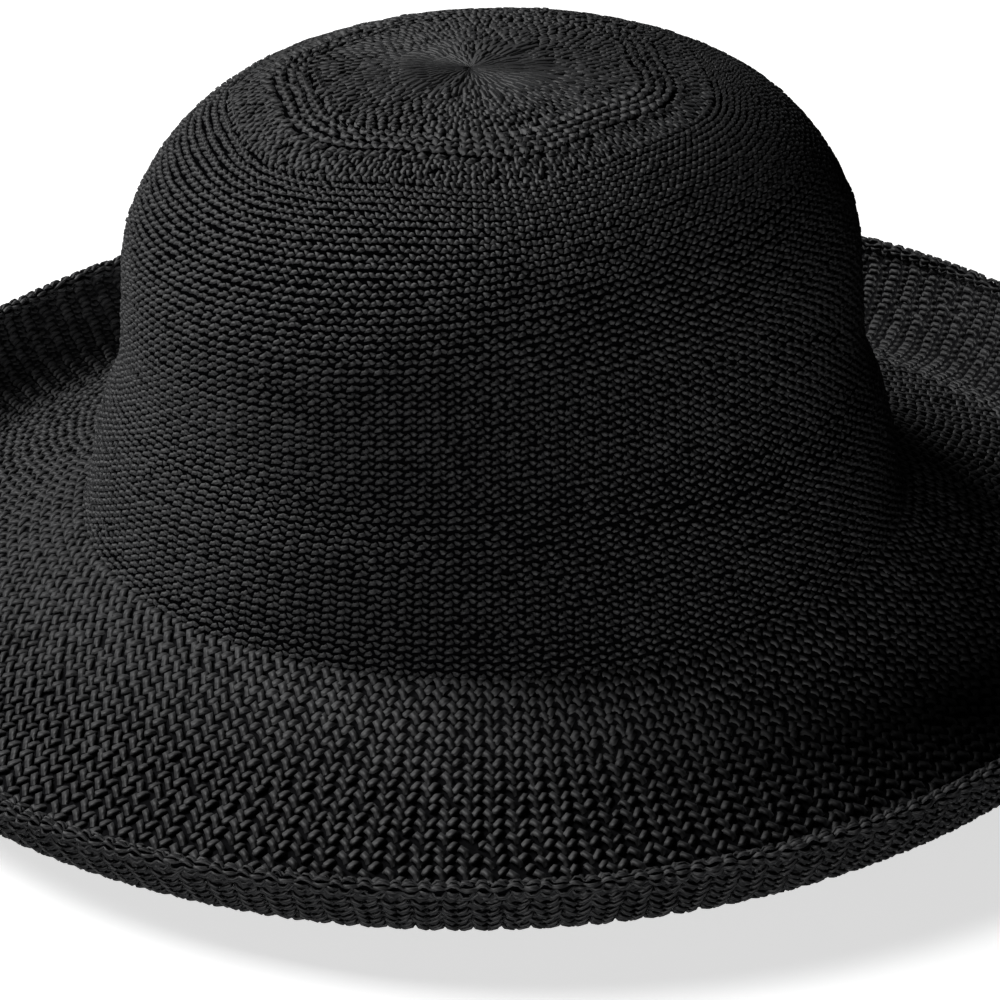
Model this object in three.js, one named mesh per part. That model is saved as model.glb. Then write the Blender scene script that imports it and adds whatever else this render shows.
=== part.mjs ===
// Wide-brim sun hat, knitted from black yarn, resting on its brim. Millimetres, +Z up.
// X runs across the hat, -Y is the front, Z = 0 is the surface that it rests on.
import * as THREE from "three";

// Driving sizes.
const BASE_WIDTH = 189;        // outside of the crown across X, where it meets the brim
const BASE_DEPTH = 175.6;      // the same along Y
const CROWN_RISE = 102.6;      // from the fold at the brim up to the tip
const FOLD_HEIGHT = 23.4;      // height of that fold above the rest surface
const CROWN_WALL = 2.4;        // thickness of the crown's knit
const RIM_WIDTH = 328;         // over the rolled edge across X
const RIM_DEPTH = 329;         // the same along Y
const RIM_HEIGHT = 21.8;       // mean top of the rolled edge above the rest surface
const BRIM_WALL = 2.6;         // thickness of the brim's knit
const ROLL_DIAMETER = 3.8;     // thickness of the rolled edge
const SEAM = 0.3;              // gap left between two pieces
const SEGMENTS = 84;           // steps round the hat

// Sizes that follow from them.
const BASE = { a: BASE_WIDTH / 2, b: BASE_DEPTH / 2 };
const RIM = { a: RIM_WIDTH / 2, b: RIM_DEPTH / 2 };
const REACH = { a: RIM.a - BASE.a, b: RIM.b - BASE.b };
const MEAN_REACH = (REACH.a + REACH.b) / 2;

// Sections, as shares of the named sizes.
// Outer side of the crown: up = share of CROWN_RISE, out = share of the base's half width.
const CROWN_SECTION = [
  { up: 0.0, out: 1.0 },
  { up: 0.05, out: 0.982 },
  { up: 0.14, out: 0.965 },
  { up: 0.24, out: 0.938 },
  { up: 0.31, out: 0.905 },
  { up: 0.38, out: 0.889 },
  { up: 0.5, out: 0.88 },
  { up: 0.63, out: 0.868 },
  { up: 0.73, out: 0.826 },
  { up: 0.81, out: 0.768 },
  { up: 0.88, out: 0.69 },
  { up: 0.932, out: 0.594 },
  { up: 0.967, out: 0.482 },
  { up: 0.989, out: 0.342 },
  { up: 0.998, out: 0.18 },
  { up: 1.0, out: 0.0 },
];

// Sideways lean of the crown to +X, as shares of CROWN_RISE: at its base, and what the tip adds.
const CROWN_LEAN = { base: 0.003, tip: 0.0136 };

// Middle of the brim's knit: out = share of REACH, up = share of FOLD_HEIGHT.
const BRIM_SECTION = [
  { out: -0.03, up: 0.931 },
  { out: 0.012, up: 0.92 },
  { out: 0.1, up: 0.815 },
  { out: 0.24, up: 0.625 },
  { out: 0.4, up: 0.425 },
  { out: 0.55, up: 0.24 },
  { out: 0.645, up: 0.11 },
  { out: 0.7, up: 0.051 },
  { out: 0.735, up: 0.05 },
  { out: 0.77, up: 0.051 },
  { out: 0.806, up: 0.092 },
  { out: 0.838, up: 0.158 },
  { out: 0.872, up: 0.26 },
  { out: 0.908, up: 0.41 },
  { out: 0.941, up: 0.58 },
  { out: 0.97, up: 0.755 },
];

// The waves grow between these shares of REACH, up the turned-up edge.
const WAVES_START = 0.82;
const WAVES_FULL = 0.95;

// Slow waves of the brim round the hat, as shares of RIM_HEIGHT, in full at the rim.
const RIM_WAVES = [
  { turns: 1, height: 0.124, phase: 1.36 },
  { turns: 2, height: 0.023, phase: 2.7 },
  { turns: 3, height: 0.0252, phase: 2.1 },
  { turns: 5, height: 0.0092, phase: 4.0 },
];

const COLOUR = { yarn: 0x1b1b1d, edge: 0x1f1f21 };

// Shared helpers.
// Points of a smooth line through a section's rows.
function smooth(rows, steps) {
  const curve = new THREE.SplineCurve(rows.map((row) => new THREE.Vector2(row.x, row.y)));
  return curve.getPoints(steps);
}

// The same line moved sideways by a distance, to the left of its direction of travel.
function shifted(line, distance) {
  return line.map((point, i) => {
    const before = line[Math.max(i - 1, 0)];
    const after = line[Math.min(i + 1, line.length - 1)];
    const along = after.clone().sub(before).normalize();
    return new THREE.Vector2(point.x - along.y * distance, point.y + along.x * distance);
  });
}

function rimWave(angle) {
  const wave = ({ turns, height, phase }) => height * Math.sin(turns * angle + phase);
  return RIM_HEIGHT * RIM_WAVES.reduce((sum, row) => sum + wave(row), 0);
}

// A loop round the hat: a distance outside an oval of half axes a and b, at a height, with a
// share of the rim's waves and a shift along X.
function loop(oval, outside, height, waves = 0, shift = 0) {
  const points = [];
  for (let i = 0; i < SEGMENTS; i += 1) {
    const angle = (i / SEGMENTS) * 2 * Math.PI;
    points.push([
      (oval.a + outside) * Math.cos(angle) + shift,
      (oval.b + outside) * Math.sin(angle),
      height + waves * rimWave(angle),
    ]);
  }
  return points;
}

// A closed solid from loops, the last joined to the first; a loop of one point is a pole.
function solid(loops) {
  const positions = [];
  const starts = loops.map((points) => {
    const start = positions.length / 3;
    points.forEach((point) => positions.push(...point));
    return start;
  });
  const index = [];
  for (let k = 0; k < loops.length; k += 1) {
    const next = (k + 1) % loops.length;
    const low = (i) => starts[k] + (loops[k].length === 1 ? 0 : i % SEGMENTS);
    const high = (i) => starts[next] + (loops[next].length === 1 ? 0 : i % SEGMENTS);
    for (let i = 0; i < SEGMENTS; i += 1) {
      if (loops[k].length > 1) {
        index.push(low(i), low(i + 1), high(i));
      }
      if (loops[next].length > 1) {
        index.push(low(i + 1), high(i + 1), high(i));
      }
    }
  }
  const geometry = new THREE.BufferGeometry();
  geometry.setAttribute("position", new THREE.Float32BufferAttribute(positions, 3));
  geometry.setIndex(index);
  geometry.computeVertexNormals();
  return geometry;
}

function piece(name, geometry, colour, roughness) {
  const material = new THREE.MeshStandardMaterial({ color: colour, roughness, metalness: 0 });
  const mesh = new THREE.Mesh(geometry, material);
  mesh.name = name;
  return mesh;
}

// Crown: side and tip in one knitted shell, open below.
// Its section is x = half width across X, y = height over the fold.
function crown() {
  const rows = CROWN_SECTION.map((row) => ({ x: row.out * BASE.a, y: row.up * CROWN_RISE }));
  const outer = smooth(rows, 19);
  const inner = shifted(outer, CROWN_WALL);
  const ratio = BASE.b / BASE.a;
  const oval = (r) => ({ a: r, b: r * ratio });
  const lean = (height) => CROWN_LEAN.base * CROWN_RISE + CROWN_LEAN.tip * height;
  const ring = (r, height) => loop(oval(r), 0, height, 0, lean(height));
  const pole = (height) => [[lean(height), 0, height]];
  const loops = outer.slice(0, -1).map((point) => ring(point.x, point.y));
  loops.push(pole(CROWN_RISE), pole(CROWN_RISE - CROWN_WALL));
  for (let i = outer.length - 2; i > 0; i -= 2) {
    if (inner[i].x > 0.1 * BASE.a) {
      loops.push(ring(inner[i].x, inner[i].y));
    }
  }
  loops.push(ring(BASE.a - CROWN_WALL, 0));
  const mesh = piece("crown", solid(loops), COLOUR.yarn, 0.85);
  mesh.position.z = FOLD_HEIGHT;
  return mesh;
}

// Brim: slopes down from the crown, turns on a flat foot ring and rises to the rim.
function brimLine() {
  const rows = BRIM_SECTION.map((row) => ({ x: row.out * MEAN_REACH, y: row.up * FOLD_HEIGHT }));
  return smooth(rows, rows.length - 1);
}

function brim() {
  const middle = brimLine();
  const upper = shifted(middle, BRIM_WALL / 2);
  const lower = shifted(middle, -BRIM_WALL / 2);
  const top = FOLD_HEIGHT - SEAM;
  const section = [
    ...lower.map((point) => ({ x: point.x, y: Math.max(point.y, 0) })),
    ...upper.reverse().map((point) => ({ x: point.x, y: Math.min(point.y, top) })),
  ];
  const loops = section.map((point) => {
    const share = point.x / MEAN_REACH;
    const rise = THREE.MathUtils.clamp((share - WAVES_START) / (WAVES_FULL - WAVES_START), 0, 1);
    const oval = { a: BASE.a + share * REACH.a, b: BASE.b + share * REACH.b };
    return loop(oval, 0, point.y, rise);
  });
  return piece("brim", solid(loops), COLOUR.yarn, 0.85);
}

// Rolled edge: a round roll on the end of the brim.
function rolledEdge() {
  const radius = ROLL_DIAMETER / 2;
  const sides = 8;
  const height = RIM_HEIGHT - radius;
  const oval = { a: RIM.a - radius, b: RIM.b - radius };
  const loops = [];
  for (let k = 0; k < sides; k += 1) {
    const angle = (k / sides) * 2 * Math.PI;
    loops.push(loop(oval, radius * Math.cos(angle), height + radius * Math.sin(angle), 1));
  }
  return piece("rolled_edge", solid(loops), COLOUR.edge, 0.8);
}

const hat = new THREE.Group();
hat.name = "sun_hat";
hat.add(crown(), brim(), rolledEdge());

export default hat;
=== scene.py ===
"""Wide-brim sun hat, knitted from black yarn: its crown, brim and rolled edge, loop by loop."""
import logging
import math
from dataclasses import dataclass, field
from enum import Enum

import bpy
import numpy as np
from mathutils import Matrix, Vector


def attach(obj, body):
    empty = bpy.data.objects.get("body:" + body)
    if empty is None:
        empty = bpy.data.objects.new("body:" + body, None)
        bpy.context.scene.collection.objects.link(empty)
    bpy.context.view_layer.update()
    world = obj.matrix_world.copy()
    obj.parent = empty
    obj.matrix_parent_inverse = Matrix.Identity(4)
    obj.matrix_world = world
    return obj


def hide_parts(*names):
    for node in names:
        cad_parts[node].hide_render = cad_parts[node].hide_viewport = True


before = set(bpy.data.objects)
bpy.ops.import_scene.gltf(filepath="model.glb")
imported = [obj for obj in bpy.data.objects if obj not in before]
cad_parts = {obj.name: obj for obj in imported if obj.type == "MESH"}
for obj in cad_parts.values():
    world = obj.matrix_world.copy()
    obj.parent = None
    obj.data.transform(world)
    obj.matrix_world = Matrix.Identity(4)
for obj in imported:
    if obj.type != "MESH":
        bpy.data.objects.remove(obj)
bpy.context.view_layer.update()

log = logging.getLogger("hat")
MM = 0.001
FULL_TURN = 2 * math.pi


# --- shapes that the solids also have ---


class Section:
    """A smooth line through the rows of a section, walked by its own length."""

    def __init__(self, rows: list[tuple[float, float]], steps: int = 40) -> None:
        """Lays the line through the rows.

        Args:
            rows: points of the section, in metres.
            steps: points between two rows.
        """
        points = np.array(rows, dtype=float)
        last = len(points) - 1
        walk = np.linspace(0, last, last * steps + 1)
        start = np.minimum(walk.astype(int), last - 1)
        t = (walk - start)[:, None]
        p0 = points[np.maximum(start - 1, 0)]
        p1 = points[start]
        p2 = points[start + 1]
        p3 = points[np.minimum(start + 2, last)]
        v0 = (p2 - p0) / 2
        v1 = (p3 - p1) / 2
        cubic = 2 * p1 - 2 * p2 + v0 + v1
        square = 3 * p2 - 3 * p1 - 2 * v0 - v1
        self.line = cubic * t**3 + square * t**2 + v0 * t + p1
        self.along = np.concatenate(([0.0], np.cumsum(np.hypot(*np.diff(self.line, axis=0).T))))

    @property
    def length(self) -> float:
        """Length of the line, in metres."""
        return float(self.along[-1])

    def at(self, share: np.ndarray) -> tuple[np.ndarray, np.ndarray]:
        """Points at shares of the line's length.

        Args:
            share: from 0 at the first row to 1 at the last; past them the line goes on straight.

        Returns:
            The points' first and second coordinates.
        """
        where = share * self.length
        before = np.minimum(where, 0.0) / self.along[1]
        after = np.maximum(where - self.length, 0.0) / (self.length - self.along[-2])
        first, last = self.line[1] - self.line[0], self.line[-1] - self.line[-2]
        return tuple(
            np.interp(where, self.along, self.line[:, k]) + before * first[k] + after * last[k]
            for k in range(2)
        )


class Surface:
    """A surface round the hat, read by the turn round it and the share of the way along its section."""

    outward = 1.0
    last_share = 2.0
    probe = 2e-3
    tiny = 1e-12

    def point(self, turn: np.ndarray, share: np.ndarray) -> np.ndarray:
        """The surface's points at turns, in radians, and shares."""
        raise NotImplementedError

    def read(self, turn: np.ndarray, share: np.ndarray) -> tuple[np.ndarray, np.ndarray]:
        """Points of the surface and its outward directions there.

        Args:
            turn: angle round the hat, in radians.
            share: share of the way along the section.

        Returns:
            The points and the unit directions that face out of the knit.
        """
        high = np.minimum(share + self.probe, self.last_share)
        low = high - 2 * self.probe
        around = self.point(turn + self.probe, share) - self.point(turn - self.probe, share)
        onward = self.point(turn, high) - self.point(turn, low)
        out = np.cross(around, onward) * self.outward
        out /= np.maximum(np.linalg.norm(out, axis=-1, keepdims=True), self.tiny)
        return self.point(turn, share), out


@dataclass
class CrownForm(Surface):
    """Outer side of the crown, from the fold at the brim to the tip. Sizes in metres."""

    half_width: float = 94.5 * MM
    half_depth: float = 87.8 * MM
    rise: float = 102.6 * MM
    fold: float = 23.4 * MM
    lean_base: float = 0.003
    lean_tip: float = 0.0136
    gather_shift: float = -4.3 * MM
    shift_reach: float = 62.0 * MM
    section: list[tuple[float, float]] = field(
        default_factory=lambda: [
            (1.0, 0.0), (0.982, 0.05), (0.965, 0.14), (0.938, 0.24), (0.905, 0.31), (0.889, 0.38),
            (0.88, 0.5), (0.868, 0.63), (0.826, 0.73), (0.768, 0.81), (0.69, 0.88), (0.594, 0.932),
            (0.482, 0.967), (0.342, 0.989), (0.18, 0.998), (0.0, 1.0),
        ]
    )
    last_share = 0.9995

    def __post_init__(self) -> None:
        """Lays the section's smooth line."""
        self.line = Section([(out * self.half_width, up * self.rise) for out, up in self.section])
        self.outs = self.line.line[::-1, 0]
        self.ups = self.line.line[::-1, 1]

    def point(self, turn: np.ndarray, share: np.ndarray) -> np.ndarray:
        """The outer side's points at turns and shares from the fold to the tip.

        Near the tip the rings move aside towards the place where the knit is gathered, and keep
        to the same dome.

        Args:
            turn: angle round the hat, in radians.
            share: share of the way up the section.

        Returns:
            The points, in metres.
        """
        out, up = self.line.at(share)
        near = np.maximum(1 - out / self.shift_reach, 0.0)
        x = out * np.cos(turn) + self.gather_shift * near
        y = out * np.sin(turn)
        up = np.where(near > 0, np.interp(np.hypot(x, y), self.outs, self.ups), up)
        lean = self.lean_base * self.rise + self.lean_tip * up
        ratio = self.half_depth / self.half_width
        return np.stack([x + lean, y * ratio, up + self.fold], axis=-1)


@dataclass
class BrimForm(Surface):
    """Middle of the brim's knit, from the fold to the rolled edge. Sizes in metres."""

    crown: CrownForm
    rim_a: float = 164.0 * MM
    rim_b: float = 164.5 * MM
    rim_height: float = 21.8 * MM
    waves_start: float = 0.82
    waves_full: float = 0.95
    waves: list[tuple[int, float, float]] = field(
        default_factory=lambda: [(1, 0.124, 1.36), (2, 0.023, 2.7), (3, 0.0252, 2.1), (5, 0.0092, 4.0)]
    )
    section: list[tuple[float, float]] = field(
        default_factory=lambda: [
            (-0.03, 0.931), (0.012, 0.92), (0.1, 0.815), (0.24, 0.625), (0.4, 0.425), (0.55, 0.24),
            (0.645, 0.11), (0.7, 0.051), (0.735, 0.05), (0.77, 0.051), (0.806, 0.092), (0.838, 0.158),
            (0.872, 0.26), (0.908, 0.41), (0.941, 0.58), (0.97, 0.755),
        ]
    )
    outward = -1.0

    def __post_init__(self) -> None:
        """Lays the section's smooth line."""
        self.reach_a = self.rim_a - self.crown.half_width
        self.reach_b = self.rim_b - self.crown.half_depth
        self.mean_reach = (self.reach_a + self.reach_b) / 2
        rows = [(out * self.mean_reach, up * self.crown.fold) for out, up in self.section]
        self.line = Section(rows)

    def wave(self, turn: np.ndarray) -> np.ndarray:
        """Height that the rim's slow waves add at these turns, in metres."""
        rows = [size * np.sin(turns * turn + phase) for turns, size, phase in self.waves]
        return self.rim_height * sum(rows)

    def point(self, turn: np.ndarray, share: np.ndarray) -> np.ndarray:
        """The middle of the knit's points at turns and shares from the fold to the rolled edge.

        Args:
            turn: angle round the hat, in radians.
            share: share of the way along the section.

        Returns:
            The points, in metres.
        """
        out, up = self.line.at(share)
        part = out / self.mean_reach
        grown = np.clip((part - self.waves_start) / (self.waves_full - self.waves_start), 0, 1)
        x = (self.crown.half_width + part * self.reach_a) * np.cos(turn)
        y = (self.crown.half_depth + part * self.reach_b) * np.sin(turn)
        return np.stack([x, y, up + grown * self.wave(turn)], axis=-1)


# --- knitting ---


class Face(Enum):
    """Which part of the loops stands out of the knit."""

    BUMPS = 1.0
    LEGS = -1.0


@dataclass(frozen=True)
class Stitch:
    """One loop of yarn. Shares of the column's width and of the row's height, unless in metres.

    Attributes:
        yarn: thickness of the yarn, in metres.
        depth: how far the loop weaves out and in, in metres.
        lead: how far its foot stands out further than its head, in metres.
        slant: how far its head leans aside, in radians.
        rise: half of its height.
        swing: how much its sides bulge.
        pinch: how much its foot is drawn aside.
        swell: share by which the yarn is thicker where it stands out.
        uneven: how uneven the knitting is.
        start: where in the loop its first point lies, in steps.
        samples: points in a loop.
        sides: sides of the yarn's section.
        corner: where the section's first corner lies, in degrees.
        face: the part that stands out.
    """

    yarn: float = 1.08 * MM
    depth: float = 1.1 * MM
    lead: float = 0.0
    slant: float = 0.15
    rise: float = 0.77
    swing: float = 0.04
    pinch: float = 0.02
    swell: float = 0.1
    uneven: float = 1.4
    start: float = 0.5
    samples: int = 8
    sides: int = 3
    corner: float = 270.0
    face: Face = Face.BUMPS


@dataclass(frozen=True)
class Unevenness:
    """What one unit of a stitch's unevenness does to its loops, as shares."""

    aside: float = 0.06
    rise: float = 0.1
    depth: float = 0.15
    yarn: float = 0.07
    row: float = 0.07
    tone: float = 0.25
    spread: float = 0.6


@dataclass
class Rows:
    """Centre lines of knitted rows: points, outward directions and what the finish reads."""

    centre: np.ndarray
    out: np.ndarray
    radius: np.ndarray
    tone: np.ndarray


class Yarn:
    """Makes tubes of yarn along closed centre lines."""

    folds = 4
    margin = 0.002
    gutter = 0.06
    tiny = 1e-9

    def __init__(self, stitch: Stitch) -> None:
        """Keeps the corners of a tube's section, in degrees; 90 faces out of the knit."""
        self.sides = stitch.sides
        self.corners = stitch.corner + 360 * np.arange(self.sides) / self.sides

    def mesh(self, name: str, rows: Rows) -> bpy.types.Object:
        """One object from rows of yarn, each a closed ring.

        Args:
            name: the piece's name.
            rows: centre lines, one for each row.

        Returns:
            The new object, with its map and the layers that the finish reads.
        """
        count, steps = rows.centre.shape[:2]
        index = np.arange(count * steps * self.sides).reshape(count, steps, self.sides)
        far = np.roll(index, -1, axis=1)
        faces = np.stack([index, np.roll(index, -1, axis=2), np.roll(far, -1, axis=2), far], axis=-1)
        made = solid(name, self.rings(rows).reshape(-1, 3), faces[..., ::-1].reshape(-1, 4))
        mesh = made.data
        places = mesh.uv_layers.new(name="OFBake")
        places.data.foreach_set("uv", self.strips(index).astype(np.float32))
        lay = mesh.attributes.new("lay", "FLOAT_VECTOR", "CORNER")
        lay.data.foreach_set("vector", self.lay(rows.centre, index).astype(np.float32))
        tone = np.broadcast_to(rows.tone[:, :, None], index.shape).reshape(-1)
        mesh.attributes.new("tone", "FLOAT", "POINT").data.foreach_set("value", tone.astype(np.float32))
        return made

    def rings(self, rows: Rows) -> np.ndarray:
        """Corners of the tubes.

        Args:
            rows: the centre lines.

        Returns:
            Points by row, step and side, in metres.
        """
        ahead = np.roll(rows.centre, -1, axis=1) - np.roll(rows.centre, 1, axis=1)
        ahead /= np.linalg.norm(ahead, axis=-1, keepdims=True)
        side = np.cross(ahead, rows.out)
        side /= np.maximum(np.linalg.norm(side, axis=-1, keepdims=True), self.tiny)
        up = np.cross(side, ahead)
        angle = np.radians(self.corners)
        ring = side[:, :, None] * np.cos(angle)[:, None] + up[:, :, None] * np.sin(angle)[:, None]
        return rows.centre[:, :, None] + ring * rows.radius[:, :, None, None]

    def strips(self, index: np.ndarray) -> np.ndarray:
        """Lays the faces out in strips: a row's steps run along them, its sides across.

        Args:
            index: numbers of the points, by row, step and side.

        Returns:
            The map's two coordinates for each corner of each face, in one run.
        """
        count, steps = index.shape[:2]
        row, step, lane = np.indices(index.shape)
        per = steps // self.folds
        fold = np.minimum(step // per, self.folds - 1)
        strip = row * self.folds + fold
        height = 1.0 / (count * self.folds)
        width = 1 - 2 * self.gutter
        low = (strip + self.gutter + width * lane / self.sides) * height
        high = (strip + self.gutter + width * (lane + 1) / self.sides) * height
        start = (step - fold * per) / per
        ends = [start, start, start + 1.0 / per, start + 1.0 / per]
        across = self.margin + (1 - 2 * self.margin) * np.stack(ends, axis=-1)
        up = np.stack([low, high, high, low], axis=-1)
        return np.stack([across[..., ::-1], up[..., ::-1]], axis=-1).reshape(-1)

    def lay(self, centre: np.ndarray, index: np.ndarray) -> np.ndarray:
        """Where each corner of each face lies on its yarn.

        Args:
            centre: points of the centre lines.
            index: numbers of the points, by row, step and side.

        Returns:
            Metres along the yarn, share of the way round it and nothing, in one run.
        """
        gaps = np.linalg.norm(np.roll(centre, -1, axis=1) - centre, axis=-1)
        run = np.cumsum(gaps, axis=1) - gaps
        near = np.broadcast_to(run[:, :, None], index.shape)
        ends = np.broadcast_to((run + gaps)[:, :, None], index.shape)
        lane = np.indices(index.shape)[2]
        along = np.stack([near, near, ends, ends], axis=-1)[..., ::-1]
        turned = np.stack([lane, lane + 1, lane + 1, lane], axis=-1)[..., ::-1] / self.sides
        return np.stack([along, turned, np.zeros_like(along)], axis=-1).reshape(-1)


def solid(name: str, points: np.ndarray, faces: np.ndarray) -> bpy.types.Object:
    """A smooth-shaded mesh object in the scene.

    Args:
        name: the object's name.
        points: its corners, one row each, in metres.
        faces: four corner numbers a row.

    Returns:
        The new object.
    """
    mesh = bpy.data.meshes.new(name)
    mesh.vertices.add(len(points))
    mesh.vertices.foreach_set("co", points.astype(np.float32).reshape(-1))
    mesh.loops.add(faces.size)
    mesh.loops.foreach_set("vertex_index", faces.astype(np.int32).reshape(-1))
    mesh.polygons.add(len(faces))
    mesh.polygons.foreach_set("loop_start", np.arange(0, faces.size, 4, dtype=np.int32))
    mesh.polygons.foreach_set("use_smooth", np.ones(len(faces), dtype=bool))
    mesh.update()
    mesh.validate()
    made = bpy.data.objects.new(name, mesh)
    bpy.context.scene.collection.objects.link(made)
    return made


@dataclass
class Knit:
    """Rows of plain knitting round a surface, with the bumpy side out.

    Attributes:
        surface: what they lie on.
        stitch: how they are worked.
        columns: loops in a row.
        row_shares: shares along the surface's section between which the rows lie.
        inset: how far they lie below the surface, in metres.
        heads: 1 where the loops' heads point along the section, -1 where they point back.
        seed: seed of their unevenness.
        crowding: largest radius of the yarn, as a share of a column's width.
        flatness: how flat the loops' tops are.
        vary: what their unevenness does.
        probe: step that a column's width is measured with, in radians.
    """

    surface: Surface
    stitch: Stitch
    columns: int
    row_shares: np.ndarray
    inset: float = 0.0
    heads: float = 1.0
    seed: int = 1
    crowding: float = 0.27
    flatness: float = 1.6
    vary: Unevenness = Unevenness()
    probe: float = 0.01

    def rows(self, first: int, last: int) -> Rows:
        """Centre lines of some of the rows.

        Args:
            first: number of the first row.
            last: number after the last row.

        Returns:
            The rows' centre lines.
        """
        stitch, vary = self.stitch, self.vary
        phase = FULL_TURN * (np.arange(stitch.samples) + stitch.start) / stitch.samples
        column = (np.arange(self.columns)[:, None] + phase[None, :] / FULL_TURN).reshape(1, -1)
        bend = np.tile(phase, self.columns)[None, :]
        random = np.random.default_rng(self.seed + first)
        uneven = [stitch.uneven * run for run in self.uneven(random, last - first, column)]

        across = column + stitch.swing * np.sin(2 * bend) + stitch.pinch * np.sin(bend)
        across = across + vary.aside * uneven[0]
        rise = self.heads * stitch.rise * (1 + vary.rise * uneven[1])
        up = np.arange(first, last)[:, None] + 0.5 - rise * np.cos(bend + stitch.slant)
        up = up + vary.row * uneven[4]
        turn, share = self.lay(FULL_TURN * across / self.columns, self.share(up))
        share = np.minimum(share, self.surface.last_share)
        point, out = self.surface.read(turn, share)

        stand = np.clip(self.flatness * np.cos(2 * bend), -1.0, 1.0)
        lift = stitch.face.value * stitch.depth * (1 + vary.depth * uneven[2]) * stand
        lift = lift - stitch.lead * np.cos(bend) - self.inset
        radius = stitch.yarn / 2 * (1 + vary.yarn * uneven[3])
        radius = radius * (1 + stitch.swell * np.cos(2 * bend))
        width = np.linalg.norm(self.surface.point(turn + self.probe, share) - point, axis=-1)
        width = width / self.probe * FULL_TURN / self.columns
        radius = np.minimum(radius, self.crowding * width)
        tone = np.broadcast_to(0.5 + vary.tone * uneven[3], point.shape[:2])
        return Rows(point + out * lift[..., None], out, radius, tone)

    def share(self, up: np.ndarray) -> np.ndarray:
        """Shares along the surface's section; past the ends a row keeps its height.

        Args:
            up: row numbers, with their fractions.

        Returns:
            The shares.
        """
        shares = self.row_shares
        count = len(shares) - 1
        share = np.interp(up, np.arange(count + 1), shares)
        share = share + np.minimum(up, 0.0) * (shares[1] - shares[0])
        return share + np.maximum(up - count, 0.0) * (shares[-1] - shares[-2])

    def uneven(self, random: np.random.Generator, count: int, column: np.ndarray) -> list[np.ndarray]:
        """Smooth random runs along each row.

        Args:
            random: where the random numbers come from.
            count: number of rows.
            column: column numbers of a row's points, with their fractions.

        Returns:
            Five runs, each about from -1 to 1.
        """
        runs = []
        for _ in range(5):
            dots = random.normal(0.0, self.vary.spread, (count, self.columns))
            dots = np.concatenate([dots, dots[:, :1]], axis=1)
            runs.append(np.stack([np.interp(column[0], np.arange(self.columns + 1), row) for row in dots]))
        return runs

    def lay(self, turn: np.ndarray, share: np.ndarray) -> tuple[np.ndarray, np.ndarray]:
        """Where the knitting lies on the surface; plain knitting lies as it is counted."""
        return turn, share


# --- finishes ---


class Signal:
    """A value in a material's nodes; expressions on it add Math nodes."""

    def __init__(self, tree: "Shader", socket: bpy.types.NodeSocket) -> None:
        """Wraps a socket of a material."""
        self.tree = tree
        self.socket = socket

    def math(self, operation: str, *values: object) -> "Signal":
        """Result of a Math node on this value and others.

        Args:
            operation: the node's operation.
            values: signals or numbers for its other sockets.

        Returns:
            The result.
        """
        node = self.tree.node("ShaderNodeMath", {"operation": operation})
        for slot, value in enumerate((self, *values)):
            self.tree.feed(node.inputs[slot], value)
        return Signal(self.tree, node.outputs[0])

    def __add__(self, other: object) -> "Signal":
        """This plus another."""
        return self.math("ADD", other)

    __radd__ = __add__

    def __mul__(self, other: object) -> "Signal":
        """This times another."""
        return self.math("MULTIPLY", other)

    __rmul__ = __mul__


class Shader:
    """A material's nodes while they are laid out."""

    def __init__(self, name: str) -> None:
        """Starts a material with a Principled shader.

        Args:
            name: the material's name.
        """
        self.material = bpy.data.materials.new(name)
        self.material.use_nodes = True
        self.nodes = self.material.node_tree.nodes
        self.principled = next(n for n in self.nodes if n.type == "BSDF_PRINCIPLED")

    def node(self, kind: str, settings: dict | None = None, values: dict | None = None) -> bpy.types.Node:
        """Adds a node.

        Args:
            kind: the node's type.
            settings: attributes of the node, set first.
            values: numbers, colours or links for its sockets, by name or number.

        Returns:
            The new node.
        """
        made = self.nodes.new(kind)
        for key, value in (settings or {}).items():
            setattr(made, key, value)
        for key, value in (values or {}).items():
            self.feed(made.inputs[key], value)
        return made

    def feed(self, socket: bpy.types.NodeSocket, value: object) -> None:
        """Links a signal or socket into a socket, or sets its number.

        Args:
            socket: the socket that is fed.
            value: a signal, a socket, a number or a colour.
        """
        if isinstance(value, Signal):
            value = value.socket
        if isinstance(value, bpy.types.NodeSocket):
            self.material.node_tree.links.new(value, socket)
        else:
            socket.default_value = value

    def attribute(self, name: str, output: str) -> Signal:
        """Reads a layer of the mesh."""
        made = self.node("ShaderNodeAttribute", {"attribute_type": "GEOMETRY", "attribute_name": name})
        return Signal(self, made.outputs[output])

    def mix(self, share: Signal, low: tuple, high: tuple) -> bpy.types.NodeSocket:
        """Mixes two colours.

        Args:
            share: share of the second colour.
            low: first colour.
            high: second colour.

        Returns:
            The socket of the mixed colour.
        """
        made = self.node("ShaderNodeMix", {"data_type": "RGBA"})
        self.feed(made.inputs[0], share)
        self.feed(made.inputs[6], low)
        self.feed(made.inputs[7], high)
        return made.outputs[2]


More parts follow.
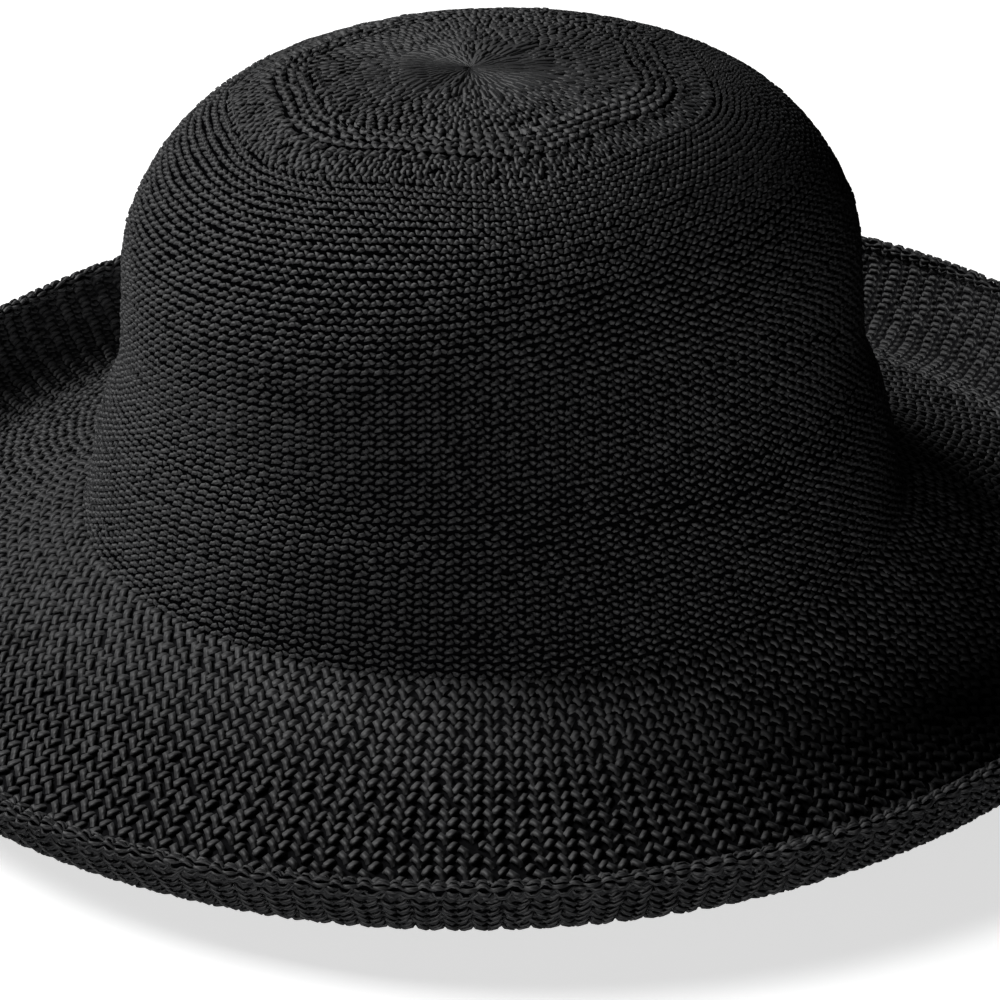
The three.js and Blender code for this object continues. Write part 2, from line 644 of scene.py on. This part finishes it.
@dataclass(frozen=True)
class YarnFinish:
    """Black yarn with a soft sheen, plied, with fine fibres, and painted shade in the grooves between its
    plies.
    """

    name: str
    dark: tuple[float, float, float, float] = (0.003, 0.003, 0.0034, 1.0)
    light: tuple[float, float, float, float] = (0.028, 0.028, 0.0296, 1.0)
    roughness: float = 0.62
    roughness_spread: float = 0.18
    sheen: float = 0.05
    sheen_roughness: float = 0.4
    sheen_tint: tuple[float, float, float, float] = (0.75, 0.78, 0.82, 1.0)
    ply: float = 3.2 * MM
    plies: int = 2
    ply_height: float = 0.6
    fibre_scale: float = 2600.0
    bump: float = 0.3
    relief: float = 0.15 * MM

    def material(self) -> bpy.types.Material:
        """Lays out the material.

        Returns:
            The finished material.
        """
        shader = Shader(self.name)
        tone = shader.attribute("tone", "Fac")
        lay = shader.attribute("lay", "Vector").socket
        parts = shader.node("ShaderNodeSeparateXYZ", None, {"Vector": lay})
        along, around = Signal(shader, parts.outputs[0]), Signal(shader, parts.outputs[1])
        place = shader.node("ShaderNodeTexCoord").outputs["Object"]
        grain = {"Vector": place, "Scale": self.fibre_scale, "Detail": 3.0, "Roughness": 0.6}
        fibre = Signal(shader, shader.node("ShaderNodeTexNoise", None, grain).outputs[0])
        # The plies wind round the yarn as rounded ridges with narrow grooves between them; the same ridges
        # darken the colour in the grooves as painted shade.
        wound = along * (FULL_TURN / self.ply) + around * (self.plies * FULL_TURN)
        ply = wound.math("SINE").math("ABSOLUTE").math("POWER", 0.5)
        height = ply * self.ply_height + fibre * (1 - self.ply_height)
        bump = shader.node("ShaderNodeBump", None, {"Strength": self.bump, "Distance": self.relief})
        shader.feed(bump.inputs["Height"], height)
        body = shader.principled.inputs
        # Base colour: the yarn's own tone and fibres, times the ply ridges, which paint shade into the grooves
        # between the plies.
        shader.feed(body["Base Color"], shader.mix((tone * 0.5 + fibre * 0.5) * ply, self.dark, self.light))
        low = self.roughness - self.roughness_spread / 2
        shader.feed(body["Roughness"], fibre * self.roughness_spread + low)
        shader.feed(body["Normal"], bump.outputs[0])
        body["Sheen Weight"].default_value = self.sheen
        body["Sheen Roughness"].default_value = self.sheen_roughness
        body["Sheen Tint"].default_value = self.sheen_tint
        return shader.material


@dataclass(frozen=True)
class PaintedShadeFinish:
    """Near-black finish of the sheet in the knit's middle: painted shade seen in the gaps between the loops."""

    name: str
    dark: tuple[float, float, float, float] = (0.0012, 0.0012, 0.0014, 1.0)
    light: tuple[float, float, float, float] = (0.0024, 0.0024, 0.0028, 1.0)
    grain: float = 1500.0

    def material(self) -> bpy.types.Material:
        """Lays out the material.

        Returns:
            The finished material.
        """
        shader = Shader(self.name)
        place = shader.node("ShaderNodeTexCoord").outputs["Object"]
        fibre = shader.node("ShaderNodeTexNoise", None, {"Vector": place, "Scale": self.grain, "Detail": 2.0})
        body = shader.principled.inputs
        shader.feed(body["Base Color"], shader.mix(Signal(shader, fibre.outputs[0]), self.dark, self.light))
        body["Roughness"].default_value = 1.0
        body["Specular IOR Level"].default_value = 0.0
        return shader.material


# --- the hat's pieces ---


@dataclass
class CrownKnit(Knit):
    """Knitting round the crown, whose rows rise to the right and turn corners on the tip."""

    lift_shares: tuple[float, ...] = (0.0, 0.15, 0.35, 0.5, 0.62, 0.75, 0.88, 1.0)
    lifts: tuple[float, ...] = (0.0, 3.0 * MM, 9.0 * MM, 9.0 * MM, 6.0 * MM, 2.0 * MM, 0.0, 0.0)
    corners: int = 6
    corner_turn: float = math.radians(-20)
    corner_shares: tuple[float, ...] = (0.0, 0.5, 0.68, 0.8, 0.92, 1.0)
    corner_reach: tuple[float, ...] = (0.0, 0.0, 1.4 * MM, 1.6 * MM, 0.6 * MM, 0.0)

    def lay(self, turn: np.ndarray, share: np.ndarray) -> tuple[np.ndarray, np.ndarray]:
        """Lifts the rows on the right side of the crown and pushes out their corners.

        Args:
            turn: angle round the hat, in radians.
            share: share of the way up, as the rows are counted.

        Returns:
            The same angle, and the share where the rows lie.
        """
        lift = np.interp(share, self.lift_shares, self.lifts) * np.cos(turn)
        reach = np.interp(share, self.corner_shares, self.corner_reach)
        lift = lift - reach * np.cos(self.corners * (turn - self.corner_turn))
        return turn, share + lift / self.surface.line.length


@dataclass(frozen=True)
class Band:
    """A band of the crown's tip, between two distances from its middle, in metres."""

    name: str
    outer: float
    inner: float
    rows: int
    columns: int
    stitch: Stitch
    inset: float = 0.9 * MM


TIP_BANDS = (
    Band(
        "tip_outer_legs", 54.5 * MM, 45.0 * MM, 4, 126,
        Stitch(yarn=1.35 * MM, depth=0.5 * MM, slant=0.5, rise=0.7, swing=0.0, uneven=3.2, face=Face.LEGS),
    ),
    Band(
        "tip_beads", 45.5 * MM, 35.5 * MM, 4, 84,
        Stitch(yarn=1.6 * MM, depth=0.8 * MM, slant=0.2, rise=0.8, swing=0.03, uneven=1.8),
    ),
    Band(
        "tip_inner_legs", 36.0 * MM, 24.0 * MM, 4, 84,
        Stitch(yarn=1.5 * MM, depth=0.6 * MM, slant=0.5, rise=0.7, swing=0.02, uneven=3.0, face=Face.LEGS),
    ),
    Band(
        "tip_knots", 25.0 * MM, 14.0 * MM, 4, 60,
        Stitch(yarn=1.6 * MM, depth=0.6 * MM, slant=0.4, rise=0.8, uneven=3.2, face=Face.LEGS),
    ),
    Band(
        "tip_pleats", 17.0 * MM, 4.0 * MM, 2, 48,
        Stitch(
            yarn=1.6 * MM, depth=0.45 * MM, rise=0.85, swing=0.0, uneven=2.6, samples=10, face=Face.LEGS
        ),
        inset=0.5 * MM,
    ),
    Band(
        "tip_gather", 10.0 * MM, -4.0 * MM, 1, 30,
        Stitch(
            yarn=1.8 * MM, depth=0.5 * MM, rise=0.55, swing=0.0, uneven=1.4, samples=12, face=Face.LEGS
        ),
        inset=0.6 * MM,
    ),
)


@dataclass
class Crown:
    """The crown: rows of fine knitting up to the shoulder, and the gathered tip. Sizes in metres."""

    form: CrownForm
    columns: int = 168
    row_height: float = 1.82 * MM
    side_inset: float = 1.2 * MM
    side_start: float = -1.9 * MM
    side_seed: int = 11
    side_parts: int = 4
    tip_reach: float = 54.0 * MM
    tip_crowding: float = 0.45
    tip_seed: int = 40
    stitch: Stitch = Stitch()
    bands: tuple[Band, ...] = TIP_BANDS

    def build(self, finish: bpy.types.Material) -> list[bpy.types.Object]:
        """Makes the crown's pieces.

        Args:
            finish: the yarn's material.

        Returns:
            The new pieces.
        """
        pieces = self.side() + [self.band(number, band) for number, band in enumerate(self.bands)]
        for piece in pieces:
            piece.data.materials.append(finish)
        return pieces

    def side(self) -> list[bpy.types.Object]:
        """Knits the crown's side.

        Returns:
            Its parts, from the fold upwards.
        """
        length = self.form.line.length
        start, end = self.side_start / length, 1 - self.tip_reach / length
        count = round((end - start) * length / self.row_height)
        shares = np.linspace(start, end, count + 1)
        knit = CrownKnit(
            self.form, self.stitch, self.columns, shares, self.side_inset, seed=self.side_seed
        )
        yarn = Yarn(self.stitch)
        edges = np.linspace(0, count, self.side_parts + 1).round().astype(int)
        return [
            yarn.mesh(f"crown_side_{number + 1}", knit.rows(first, last))
            for number, (first, last) in enumerate(zip(edges, edges[1:]))
        ]

    def band(self, number: int, band: Band) -> bpy.types.Object:
        """Knits one band of the tip.

        Args:
            number: the band's number, from the outside inwards.
            band: its sizes and stitch.

        Returns:
            The new piece.
        """
        shares = 1 - np.linspace(band.outer, band.inner, band.rows + 1) / self.form.line.length
        knit = CrownKnit(
            self.form, band.stitch, band.columns, shares, band.inset,
            seed=self.tip_seed + number, crowding=self.tip_crowding,
        )
        return Yarn(band.stitch).mesh(band.name, knit.rows(0, band.rows))


@dataclass(frozen=True)
class Strip:
    """A strip of the brim, between two shares of its section. Sizes in metres."""

    name: str
    span: tuple[float, float]
    row_height: float
    stitch: Stitch
    inset: float
    seed: int


BRIM_STRIPS = (
    Strip(
        "brim_slope", (0.0, 0.66), 2.9 * MM,
        Stitch(
            yarn=1.65 * MM, depth=0.6 * MM, slant=0.8, rise=0.62, swing=0.05, pinch=-0.03, swell=0.1, uneven=2.2
        ),
        inset=0.0, seed=21,
    ),
    Strip(
        "brim_wall_inside", (0.66, 1.02), 1.45 * MM,
        Stitch(
            yarn=1.3 * MM, depth=0.4 * MM, slant=0.3, rise=0.5, swing=0.03, swell=0.1, uneven=2.2, samples=5
        ),
        inset=-0.3 * MM, seed=22,
    ),
    Strip(
        "brim_wall_outside", (0.7, 1.0), 2.9 * MM,
        Stitch(
            yarn=1.05 * MM, depth=0.35 * MM, lead=-0.4 * MM, slant=0.1, rise=0.25, swing=-0.07, swell=0.0,
            uneven=1.8, corner=90.0,
        ),
        inset=0.5 * MM, seed=23,
    ),
)


@dataclass
class Brim:
    """The brim: coarser knitting from the fold, over the foot, up both sides of the turned-up wall."""

    form: BrimForm
    columns: int = 168
    strips: tuple[Strip, ...] = BRIM_STRIPS

    def build(self, finish: bpy.types.Material) -> list[bpy.types.Object]:
        """Makes the brim's pieces.

        Args:
            finish: the yarn's material.

        Returns:
            The new pieces.
        """
        pieces = [self.strip(strip) for strip in self.strips]
        for piece in pieces:
            piece.data.materials.append(finish)
        return pieces

    def strip(self, strip: Strip) -> bpy.types.Object:
        """Knits one strip of the brim.

        Args:
            strip: its sizes and stitch.

        Returns:
            The new piece.
        """
        first, last = strip.span
        count = round((last - first) * self.form.line.length / strip.row_height)
        shares = np.linspace(first, last, count + 1)
        knit = Knit(
            self.form, strip.stitch, self.columns, shares, strip.inset, heads=-1.0, seed=strip.seed
        )
        return Yarn(strip.stitch).mesh(strip.name, knit.rows(0, count))


@dataclass
class FabricBody:
    """The dense middle of the knit, a thin closed sheet which closes the view between the loops; its near-black
    finish is painted shade. Sizes in metres.
    """

    name: str
    surface: Surface
    centre: float
    thickness: float = 0.3 * MM
    around: int = 84
    along: int = 24
    first: float = 0.0
    last: float = 0.9995

    def build(self, finish: bpy.types.Material) -> bpy.types.Object:
        """Makes the thin closed body.

        Args:
            finish: its material.

        Returns:
            The new piece.
        """
        turn = FULL_TURN * np.arange(self.around) / self.around
        share = np.linspace(self.first, self.last, self.along)
        turn, share = np.meshgrid(turn, share)
        point, out = self.surface.read(turn, share)
        outer = point + out * (self.centre + self.thickness / 2)
        inner = point + out * (self.centre - self.thickness / 2)
        rings = np.concatenate([outer, inner[::-1]])
        index = np.arange(rings.shape[0] * self.around).reshape(-1, self.around)
        far = np.roll(index, -1, axis=0)
        faces = np.stack([index, np.roll(index, -1, 1), np.roll(far, -1, 1), far], axis=-1)
        if self.surface.outward < 0:
            faces = faces[..., ::-1]
        made = solid(self.name, rings.reshape(-1, 3), faces.reshape(-1, 4))
        made.data.materials.append(finish)
        return made


@dataclass
class RollForm(Surface):
    """The outside of the rolled edge. Sizes in metres."""

    brim: BrimForm
    diameter: float
    seam: float = -math.pi * 0.75

    def point(self, turn: np.ndarray, share: np.ndarray) -> np.ndarray:
        """Points of the roll.

        Args:
            turn: angle round the hat, in radians.
            share: share of the way round the roll, from its seam.

        Returns:
            The points, in metres.
        """
        radius = self.diameter / 2
        angle = FULL_TURN * share + self.seam
        out = radius * np.cos(angle) - radius
        height = self.brim.rim_height - radius + radius * np.sin(angle) + self.brim.wave(turn)
        x = (self.brim.rim_a + out) * np.cos(turn)
        y = (self.brim.rim_b + out) * np.sin(turn)
        return np.stack([x, y, height], axis=-1)


@dataclass
class RolledEdge:
    """The thick roll that closes the brim. Sizes in metres."""

    form: BrimForm
    diameter: float = 3.8 * MM
    columns: int = 168
    strands: int = 7
    inset: float = 0.65 * MM
    seed: int = 31
    stitch: Stitch = Stitch(
        yarn=0.98 * MM, depth=0.4 * MM, rise=0.3, slant=0.3, swing=0.03, uneven=2.4, samples=8
    )

    def build(self, finish: bpy.types.Material, shade: bpy.types.Material) -> list[bpy.types.Object]:
        """Makes the roll.

        Args:
            finish: the yarn's material.
            shade: the material of its inside sheet, near-black as painted shade.

        Returns:
            The new pieces.
        """
        roll = RollForm(self.form, self.diameter)
        shares = np.linspace(0.0, 1.0, self.strands + 1)
        knit = Knit(roll, self.stitch, self.columns, shares, self.inset, seed=self.seed)
        made = Yarn(self.stitch).mesh("rolled_edge_knit", knit.rows(0, self.strands))
        made.data.materials.append(finish)
        body = FabricBody("rolled_edge_body", roll, centre=-1.0 * MM, along=9, last=1.0)
        return [made, body.build(shade)]


# --- floor, light and camera ---


@dataclass(frozen=True)
class Lamp:
    """A soft lamp: where it stands, what it looks at, its sides and its power."""

    name: str
    place: tuple[float, float, float]
    size: tuple[float, float]
    power: float
    aim: tuple[float, float, float] = (0.0, 0.0, 0.06)

    def build(self) -> None:
        """Sets the lamp up."""
        data = bpy.data.lights.new(self.name, "AREA")
        data.shape = "RECTANGLE"
        data.size, data.size_y = self.size
        data.energy = self.power
        made = bpy.data.objects.new(self.name, data)
        made.location = self.place
        made.rotation_mode = "QUATERNION"
        made.rotation_quaternion = (Vector(self.aim) - Vector(self.place)).to_track_quat("-Z", "Y")
        bpy.context.scene.collection.objects.link(made)


@dataclass(frozen=True)
class Studio:
    """Pale floor, soft lamps and the camera."""

    elevation: float = math.radians(28.37)
    roll: float = math.radians(1.4)
    distance: float = 0.95
    lens: float = 147.78
    target: tuple[float, float, float] = (0.00163, 0.0, 0.01813)
    sensor: float = 36.0
    ambient: float = 0.015
    floor_half: float = 6.0
    floor_shade: float = 0.92
    floor_roughness: float = 0.9
    floor_glow: float = 0.62
    lamps: tuple[Lamp, ...] = (
        Lamp("key", (-1.05, 0.52, 1.1), (0.8, 0.8), 27.0),
        Lamp("fill", (-0.4, -1.35, 0.15), (0.6, 0.2), 11.0),
    )

    def build(self) -> None:
        """Sets up the floor, the lamps and the camera."""
        self.floor()
        for lamp in self.lamps:
            lamp.build()
        self.world()
        self.camera()
        bpy.context.scene.view_settings.view_transform = "Standard"

    def floor(self) -> None:
        """Lays a plain pale floor, which throws no light back on the hat."""
        half = self.floor_half
        points = np.array([(-half, -half, 0.0), (half, -half, 0.0), (half, half, 0.0), (-half, half, 0.0)])
        made = solid("floor", points, np.array([[0, 1, 2, 3]]))
        shader = Shader("pale_floor")
        body = shader.principled.inputs
        body["Base Color"].default_value = (self.floor_shade, self.floor_shade, self.floor_shade, 1.0)
        body["Roughness"].default_value = self.floor_roughness
        body["Emission Color"].default_value = (1.0, 1.0, 1.0, 1.0)
        body["Emission Strength"].default_value = self.floor_glow
        body["Specular IOR Level"].default_value = 0.0
        made.data.materials.append(shader.material)
        made.visible_diffuse = False
        made.visible_glossy = False

    def world(self) -> None:
        """Gives the even light of a pale room."""
        world = bpy.data.worlds.new("room")
        world.use_nodes = True
        back = world.node_tree.nodes["Background"]
        back.inputs["Color"].default_value = (1.0, 1.0, 1.0, 1.0)
        back.inputs["Strength"].default_value = self.ambient
        bpy.context.scene.world = world

    def camera(self) -> None:
        """Stands the camera where the photograph was taken from."""
        e, r = self.elevation, self.roll
        ahead = Vector((0.0, math.cos(e), -math.sin(e)))
        right = Vector((1.0, 0.0, 0.0))
        up = Vector((0.0, math.sin(e), math.cos(e)))
        across = right * math.cos(r) - up * math.sin(r)
        upward = right * math.sin(r) + up * math.cos(r)
        data = bpy.data.cameras.new("camera")
        data.lens = self.lens
        data.sensor_width = self.sensor
        data.sensor_fit = "HORIZONTAL"
        made = bpy.data.objects.new("camera", data)
        axes = Matrix((across, upward, -ahead)).transposed()
        place = Vector(self.target) - ahead * self.distance
        made.matrix_world = Matrix.Translation(place) @ axes.to_4x4()
        bpy.context.scene.collection.objects.link(made)
        bpy.context.scene.camera = made


def main() -> None:
    """Builds the hat piece by piece and sets up the studio."""
    logging.basicConfig(level=logging.INFO, format="%(name)s: %(message)s")
    crown_form = CrownForm()
    brim_form = BrimForm(crown_form)
    # The near-black sheets in the knit's middle carry painted shade for the gaps between the loops; the brim's
    # sheet is painted a lighter, dim shade.
    shade = PaintedShadeFinish("knit_painted_shade").material()
    brim_painted_shade = PaintedShadeFinish(
        "brim_painted_shade", dark=(0.005, 0.005, 0.0056, 1.0), light=(0.014, 0.014, 0.015, 1.0)
    ).material()
    crown_yarn = YarnFinish("crown_yarn").material()
    brim_yarn = YarnFinish("brim_yarn", light=(0.038, 0.038, 0.04, 1.0)).material()
    edge_yarn = YarnFinish("edge_yarn", light=(0.034, 0.034, 0.036, 1.0)).material()
    made = {
        "crown": [
            *Crown(crown_form).build(crown_yarn),
            FabricBody("crown_body", crown_form, centre=-0.7 * MM, first=-0.015).build(shade),
        ],
        "brim": [
            *Brim(brim_form).build(brim_yarn),
            FabricBody("brim_body", brim_form, centre=0.15 * MM, last=1.03).build(brim_painted_shade),
        ],
        "rolled_edge": RolledEdge(brim_form).build(edge_yarn, shade),
    }
    for node, pieces in made.items():
        for piece in pieces:
            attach(piece, "root")
            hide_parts(node)
            log.info("%s: %d faces", piece.name, len(piece.data.polygons))
    Studio().build()


if __name__ == "__main__":
    main()
